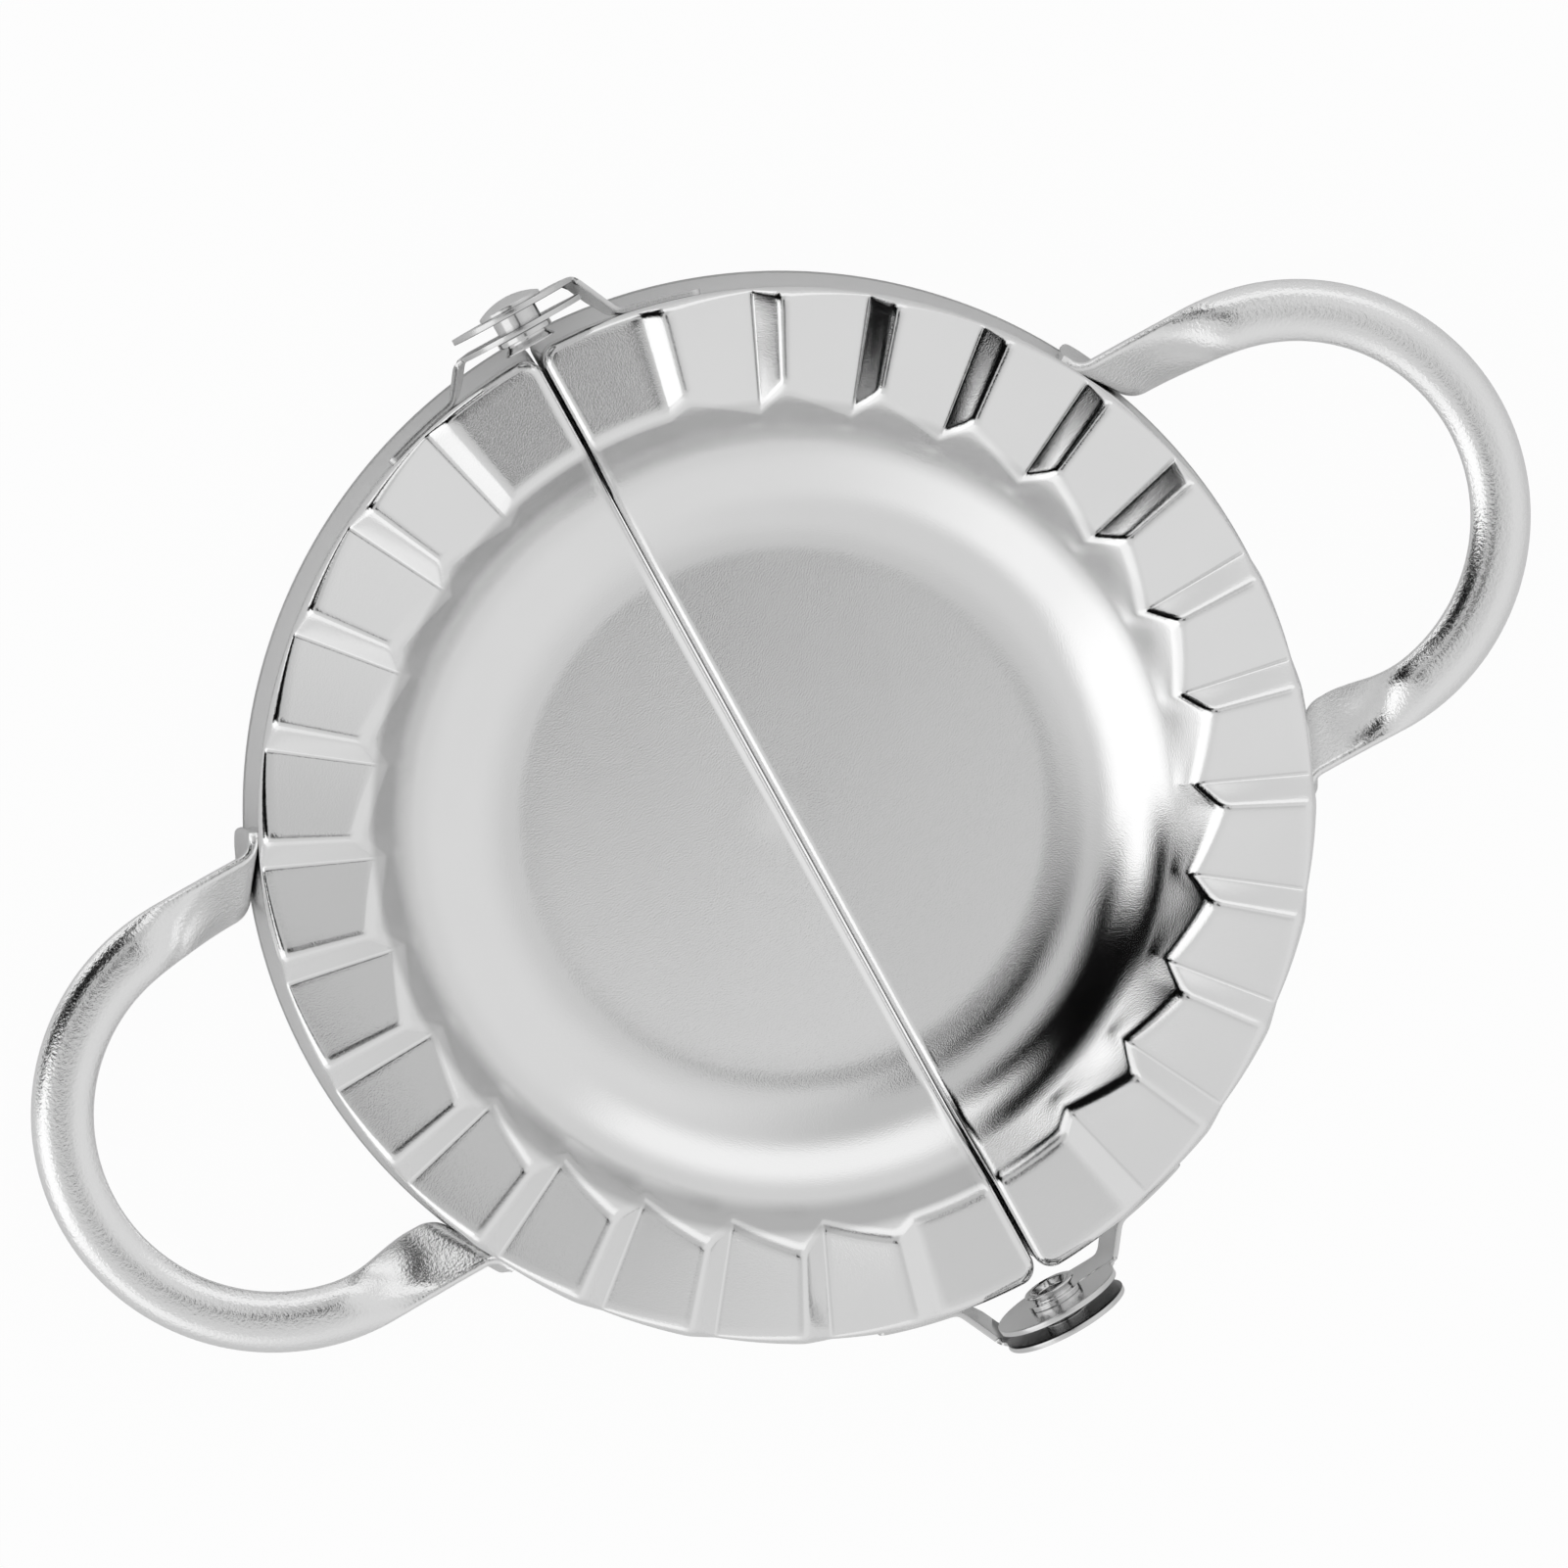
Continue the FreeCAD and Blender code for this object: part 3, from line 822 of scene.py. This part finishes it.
@dataclass(frozen=True)
class Socket:
    """Value socket of a node tree, with the operators that add Math nodes."""

    tree: "Shader"
    link: bpy.types.NodeSocket

    def math(self, operation: str, *others: "Socket | float") -> "Socket":
        """Add a Math node on this value and others."""
        return self.tree.node("ShaderNodeMath", (self, *others), operation=operation)

    def __add__(self, other: "Socket | float") -> "Socket":
        """Sum of two values."""
        return self.math("ADD", other)

    def __sub__(self, other: "Socket | float") -> "Socket":
        """Difference of two values."""
        return self.math("SUBTRACT", other)

    def __rsub__(self, other: float) -> "Socket":
        """Number minus this value."""
        return self.tree.node("ShaderNodeMath", (other, self), operation="SUBTRACT")

    def __mul__(self, other: "Socket | float") -> "Socket":
        """Product of two values."""
        return self.math("MULTIPLY", other)

    __radd__ = __add__
    __rmul__ = __mul__

    def step(self, low: float, high: float) -> "Socket":
        """Smooth step of this value from 0 at low to 1 at high."""
        return self.tree.node("ShaderNodeMapRange", {
            "Value": self, "From Min": low, "From Max": high}, interpolation_type="SMOOTHSTEP")


class Shader:
    """Node tree of one material or world."""

    def __init__(self, owner: bpy.types.ID) -> None:
        """Take over an owner's node tree, emptied."""
        owner.use_nodes = True
        self.tree = owner.node_tree
        self.tree.nodes.clear()

    def node(self, kind: str, inputs: tuple | dict = (), out: int | str = 0,
             **settings: str) -> Socket:
        """Add any node.

        Args:
            kind: The node's type.
            inputs: Values or sockets, by order or by socket name.
            out: The output to return.
            settings: Attributes set before the sockets.

        Returns:
            That output, wrapped.
        """
        made = self.tree.nodes.new(kind)
        for name, value in settings.items():
            setattr(made, name, value)
        pairs = inputs.items() if isinstance(inputs, dict) else enumerate(inputs)
        for name, value in pairs:
            socket = made.inputs[name]
            if isinstance(value, Socket):
                self.tree.links.new(value.link, socket)
            else:
                socket.default_value = value
        return Socket(self, made.outputs[out]) if made.outputs else None

    def axes(self, vector: Socket) -> tuple[Socket, ...]:
        """X, Y and Z of a vector."""
        split = self.node("ShaderNodeSeparateXYZ", (vector,)).link.node
        return tuple(Socket(self, output) for output in split.outputs)

    def noise(self, place: Socket, size_mm: float, detail: float, rough: float,
              distortion: float = 0.0) -> Socket:
        """Noise over a place, from 0 to 1.

        Args:
            place: Where it is looked up.
            size_mm: Size of its largest spots.
            detail: Number of finer layers.
            rough: Strength of those.
            distortion: How far it is bent.

        Returns:
            The texture's value.
        """
        return self.node("ShaderNodeTexNoise", {
            "Vector": place, "Scale": 1.0 / MM / size_mm, "Detail": detail,
            "Roughness": rough, "Distortion": distortion})


@dataclass(frozen=True)
class Steel:
    """Bright steel with a fine grain, faint clouds, smears, small scratches and painted shade.

    A painted shade is the share of brightness that its mask takes off, painted light what it
    adds.
    """

    name: str
    grey: float = 0.88
    roughness: float = 0.095
    roughness_spread: float = 0.05
    grain_mm: float = 0.13
    grain: float = 0.07
    grain_tone: float = 0.05
    bump_mm: float = 0.2
    cloud_mm: float = 9.0
    cloud: float = 0.02
    smear_mm: float = 2.5
    smear_from: float = 0.58
    smear_full: float = 0.75
    smear_share: float = 0.6
    scratch_mm: float = 9.0
    scratch_turn: float = 0.5
    scratch_stretch: float = 14.0
    scratch_from: float = 0.66
    scratch_full: float = 0.74
    scratch_rough: float = 0.03
    scratch: float = 0.15
    wall_painted_shade: float = 0.0
    gap_painted_shade: float = 0.0
    floor_painted_light: float = 0.0

    def make(self) -> bpy.types.Material:
        """Build the material.

        Returns:
            A metal whose colour, roughness and normal vary over Object coordinates.
        """
        material = bpy.data.materials.new(self.name)
        shader = Shader(material)
        place = shader.node("ShaderNodeTexCoord", out="Object")
        grain = shader.noise(place, self.grain_mm, detail=2, rough=0.6)
        cloud = shader.noise(place, self.cloud_mm, detail=3, rough=0.55)
        smear = shader.noise(place, self.smear_mm, detail=4, rough=0.7, distortion=1.5)
        stretch = shader.node("ShaderNodeMapping", {
            "Vector": place, "Rotation": (0, 0, self.scratch_turn),
            "Scale": (1, self.scratch_stretch, 1)})
        line = shader.noise(stretch, self.scratch_mm, detail=5, rough=0.75)
        scratches = line.step(self.scratch_from, self.scratch_full)
        tone = 1 + (cloud - 0.5) * (self.cloud * 2) + (grain - 0.5) * self.grain_tone
        # Painted shade and painted light: masks over Object coordinates scale the base colour.
        if self.wall_painted_shade:
            tone = tone * (1 - self.painted_shade_on_wall(shader, place) * self.wall_painted_shade)
        if self.gap_painted_shade:
            tone = tone * (1 - self.painted_shade_between_ears(shader, place) * self.gap_painted_shade)
        if self.floor_painted_light:
            tone = tone * (1 + self.painted_light_on_left_dish(shader, place) * self.floor_painted_light)
        tint = shader.node("ShaderNodeVectorMath", {
            "Vector": (self.grey,) * 3, "Scale": tone}, operation="SCALE")
        smears = smear.step(self.smear_from, self.smear_full)
        rough = self.roughness + (cloud - 0.5) * self.roughness_spread * 2 \
            + smears * self.roughness_spread * self.smear_share + scratches * self.scratch_rough
        height = grain + scratches * (-self.scratch)
        bump = shader.node("ShaderNodeBump", {
            "Strength": self.grain, "Distance": self.bump_mm * MM, "Height": height})
        surface = shader.node("ShaderNodeBsdfPrincipled", {
            "Base Color": tint, "Metallic": 1.0, "Roughness": rough, "Normal": bump})
        shader.node("ShaderNodeOutputMaterial", {"Surface": surface})
        return material

    @staticmethod
    def painted_light_on_left_dish(shader: Shader, place: Socket) -> Socket:
        """Mask of painted light that brightens the left dish's floor: 1 on it, 0 off it."""
        x, y, _ = shader.axes(place)
        reach = (x * x + y * y).math("SQRT")
        inside = 1 - reach.step(21 * MM, 27 * MM)
        left = 1 - x.step(-0.1 * MM, 0.1 * MM)
        return inside * left

    @staticmethod
    def painted_shade_on_wall(shader: Shader, place: Socket) -> Socket:
        """Mask of painted shade on the steep wall under the lip: 1 on it, 0 off it."""
        x, y, z = shader.axes(place)
        reach = (x * x + y * y).math("SQRT")
        ring = reach.step(34.6 * MM, 35.9 * MM) * (1 - reach.step(37 * MM, 37.9 * MM))
        # On the right half the painted shade is left off at the near end and halved towards the
        # far end.
        right_unshaded = 1 - y.step(-14 * MM, 18 * MM) * 0.5
        side = 1 - x.step(-2 * MM, 2 * MM) * right_unshaded
        return ring * side * z.step(4 * MM, 7.5 * MM)

    @staticmethod
    def painted_shade_between_ears(shader: Shader, place: Socket) -> Socket:
        """Mask of painted shade on the two ear faces that look at each other across the narrow
        gap.
        """
        x, y, _ = shader.axes(place)
        x, y = x.math("ABSOLUTE"), y.math("ABSOLUTE")
        between = y.step(50.18 * MM, 50.24 * MM) * (1 - y.step(51.46 * MM, 51.53 * MM))
        return between * (1 - x.step(5.9 * MM, 6.4 * MM))


# The die's steel carries painted shade on the wall under the lip and painted light on the left
# dish's floor.
DIE_STEEL = Steel("bright_stamped_steel", wall_painted_shade=0.3, floor_painted_light=0.12)
HANDLE_STEEL = Steel("pressed_strip_steel", roughness=0.17, grain_mm=0.3, grain=0.22)
# The bracket's steel carries painted shade on the ear faces that look at each other across the
# gap.
BRACKET_STEEL = Steel("blanked_sheet_steel", 0.72, roughness=0.17, gap_painted_shade=0.86)
RIVET_STEEL = Steel("turned_rivet_steel", 0.74, roughness=0.14, grain=0.02)


@dataclass(frozen=True)
class Panel:
    """Part of the light tent with its own brightness: a soft box or a dark gap.

    Directions are in degrees: azimuth from +X towards +Y, and height over the horizon.
    The tilt is the rise in height for each degree of azimuth.
    """

    name: str
    azimuth: float
    half: float
    low: float
    high: float
    level: float
    side_blur: float = 4.0
    height_blur: float = 2.5
    tilt: float = 0.0

    def lay(self, glow: "Socket | float", azimuth: Socket, height: Socket) -> Socket:
        """Lay the panel over the tent.

        Args:
            glow: Brightness of the tent without this panel.
            azimuth: Azimuth of the direction looked at.
            height: Height of that direction.

        Returns:
            Brightness with the panel.
        """
        turn = (azimuth - self.azimuth).math("WRAP", 180, -180)
        off = turn.math("ABSOLUTE")
        if self.tilt:
            height = height - turn * self.tilt
        mask = (1 - off.step(self.half - self.side_blur, self.half + self.side_blur)) \
            * height.step(self.low - self.height_blur, self.low + self.height_blur) \
            * (1 - height.step(self.high - self.height_blur, self.high + self.height_blur))
        return glow + mask * (self.level - glow)


TENT = (
    Panel("even_side", -50, 75, 18, 62, 0.76, 20, 8),
    Panel("overhead_left", 114, 62, 50, 78, 0.56, 12, 4),
    Panel("overhead_near", 215, 50, 50, 71, 0.70, 12, 4),
    Panel("overhead_floor", 250, 110, 71, 90, 0.62, 18, 3),
    Panel("overhead_top", 0, 200, 85, 100, 0.60, 5, 3),
    Panel("high_box", 18, 14, 54, 72, 0.76, 5, 4),
    Panel("soft_box_right", 58, 39, 23, 46, 0.98, 5, 4),
    Panel("soft_box_far", 200, 32, 13, 46, 1, 22, 3),
    Panel("soft_box_left", 165, 29, 9, 53, 1.15, 4, 3),
    Panel("low_box", 111, 18, -6, 13, 1.15, 4, 2),
    Panel("dark_gap", 117, 26, 15, 52, 0.002, 2.5, 2),
    Panel("dark_left_lobe", 96, 6, 13, 19.5, 0.01, 2.5, 1.5),
    Panel("left_notch", 94, 9, 31, 41, 0.95, 4, 3),
    Panel("dark_high_arm", 141, 10, 42, 55, 0.002, 3, 2),
    Panel("dark_low_arm", 142, 14, 8, 23, 0.002, 2, 2, 0.1),
    Panel("dark_line_tail", 142, 28, 72.5, 86, 0.28, 12, 2),
    Panel("dark_line", 112, 28, 70.8, 88, 0.002, 3, 1.2),
    Panel("camera_halo", 0, 200, 84.9, 100, 0.13, 5, 1.4),
    Panel("beside_halo", 48, 36, 80, 88.4, 0.62, 4, 0.8),
)


@dataclass
class Studio:
    """Pale floor, light tent with dark gaps, and the photograph's camera."""

    panels: tuple[Panel, ...] = TENT
    camera_mm: tuple[float, float, float] = (-15.53, 59.32, 428.4)
    aim_mm: tuple[float, float, float] = (0.90, 3.35, 11.0)
    up_mm: tuple[float, float, float] = (0.4865, 0.8683, -0.0973)
    lens: float = 108.5
    sensor: float = 36.0
    floor_half: float = 3.0
    floor_white: float = 0.95
    tent_level: float = 0.70

    def camera(self) -> None:
        """Make the camera and point it."""
        data = bpy.data.cameras.new("camera")
        data.lens = self.lens
        data.sensor_width = self.sensor
        data.clip_start = 0.01
        made = add_object("camera", data)
        back = (Vector(self.camera_mm) - Vector(self.aim_mm)).normalized()
        right = Vector(self.up_mm).cross(back).normalized()
        up = back.cross(right)
        place = Matrix((right, up, back)).transposed().to_4x4()
        place.translation = Vector(self.camera_mm) * MM
        made.matrix_world = place
        bpy.context.scene.camera = made

    def floor(self) -> None:
        """Make the pale floor, white to the camera, which keeps the object's shadow."""
        h = self.floor_half
        mesh = bpy.data.meshes.new("floor")
        mesh.from_pydata([(-h, -h, 0), (h, -h, 0), (h, h, 0), (-h, h, 0)], [], [(0, 1, 2, 3)])
        made = add_object("floor", mesh)
        material = bpy.data.materials.new("pale_floor")
        shader = Shader(material)
        seen = shader.node("ShaderNodeLightPath", out="Is Camera Ray")
        base = shader.node("ShaderNodeBsdfDiffuse", {"Color": (0.9, 0.9, 0.9, 1)})
        white = shader.node("ShaderNodeEmission", {"Strength": 1.0})
        mixed = shader.node("ShaderNodeMixShader", (seen * self.floor_white, base, white))
        shader.node("ShaderNodeOutputMaterial", {"Surface": mixed})
        mesh.materials.append(material)

    def world(self) -> None:
        """Light tent: a pale dome with soft boxes, dark gaps and the dark camera overhead."""
        world = bpy.data.worlds.new("tent")
        bpy.context.scene.world = world
        shader = Shader(world)
        way = shader.node("ShaderNodeTexCoord", out="Generated")
        x, y, z = shader.axes(way)
        azimuth = y.math("ARCTAN2", x) * (180 / math.pi)
        height = z.math("ARCSINE") * (180 / math.pi)
        glow: Socket | float = self.tent_level
        for panel in self.panels:
            LOG.info("tent: %s", panel.name)
            glow = panel.lay(glow, azimuth, height)
        back = shader.node("ShaderNodeBackground", {
            "Color": (1, 1, 1, 1), "Strength": glow})
        shader.node("ShaderNodeOutputWorld", {"Surface": back})


@dataclass
class Press:
    """The whole press, with every piece riding on its body."""

    edge_bevel: float = 0.09
    bevel_angle: float = 50.0

    def finish_piece(self, made: bpy.types.Object, body: str, node: str,
                     material: bpy.types.Material) -> None:
        """Dress one piece, let it ride and put it in its node's place.

        Args:
            made: The piece.
            body: Name of the body that it rides on.
            node: Name of the CAD node that it replaces.
            material: Its material.
        """
        made.data.materials.append(material)
        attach(made, body)
        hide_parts(node)
        LOG.info("%s: %d faces on %s", made.name, len(made.data.polygons), body)

    def thicken(self, made: bpy.types.Object, sheet: float) -> None:
        """Give a bracket its sheet and soft edges."""
        solid = made.modifiers.new("sheet", "SOLIDIFY")
        solid.thickness = sheet * MM
        solid.offset = 0.0
        bevel = made.modifiers.new("edges", "BEVEL")
        bevel.width = self.edge_bevel * MM
        bevel.segments = 2
        bevel.limit_method = "ANGLE"
        bevel.angle_limit = math.radians(self.bevel_angle)

    def build(self) -> None:
        """Make every piece of both halves and the hinge."""
        die_steel, handle_steel = DIE_STEEL.make(), HANDLE_STEEL.make()
        bracket_steel, rivet_steel = BRACKET_STEEL.make(), RIVET_STEEL.make()
        for half in Half:
            side = half.value
            die = HalfDie().build().piece(side + "_stamped_die", half)
            self.finish_piece(die, half.body, side + "_die", die_steel)
            handle = StripHandle().build().piece(side + "_strip_handle", half)
            self.finish_piece(handle, half.body, side + "_handle", handle_steel)
            outer = HingeBracket(ear_y=51.45, leg_past_ear=0.25, end=1)
            inner = HingeBracket(ear_y=49.75, leg_past_ear=0.55, end=-1)
            for bracket, node in ((outer, "_outer_bracket"), (inner, "_inner_bracket")):
                made = bracket.build().piece(side + node + "_sheet", half)
                self.thicken(made, bracket.sheet)
                self.finish_piece(made, half.body, side + node, bracket_steel)
        for end, seat, node in ((1, 0.0, "far_rivet"), (-1, 0.12, "near_rivet")):
            made = HingeRivet(end, seat).build().piece(node + "_turned", Half.RIGHT)
            self.finish_piece(made, Half.RIGHT.body, node, rivet_steel)


def main() -> None:
    """Build the press, the stage and the camera."""
    logging.basicConfig(level=logging.INFO, format="%(message)s")
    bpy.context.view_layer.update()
    scene = bpy.context.scene
    scene.view_settings.view_transform = "Standard"
    studio = Studio()
    studio.camera()
    studio.floor()
    studio.world()
    Press().build()


if __name__ == "__main__":
    main()
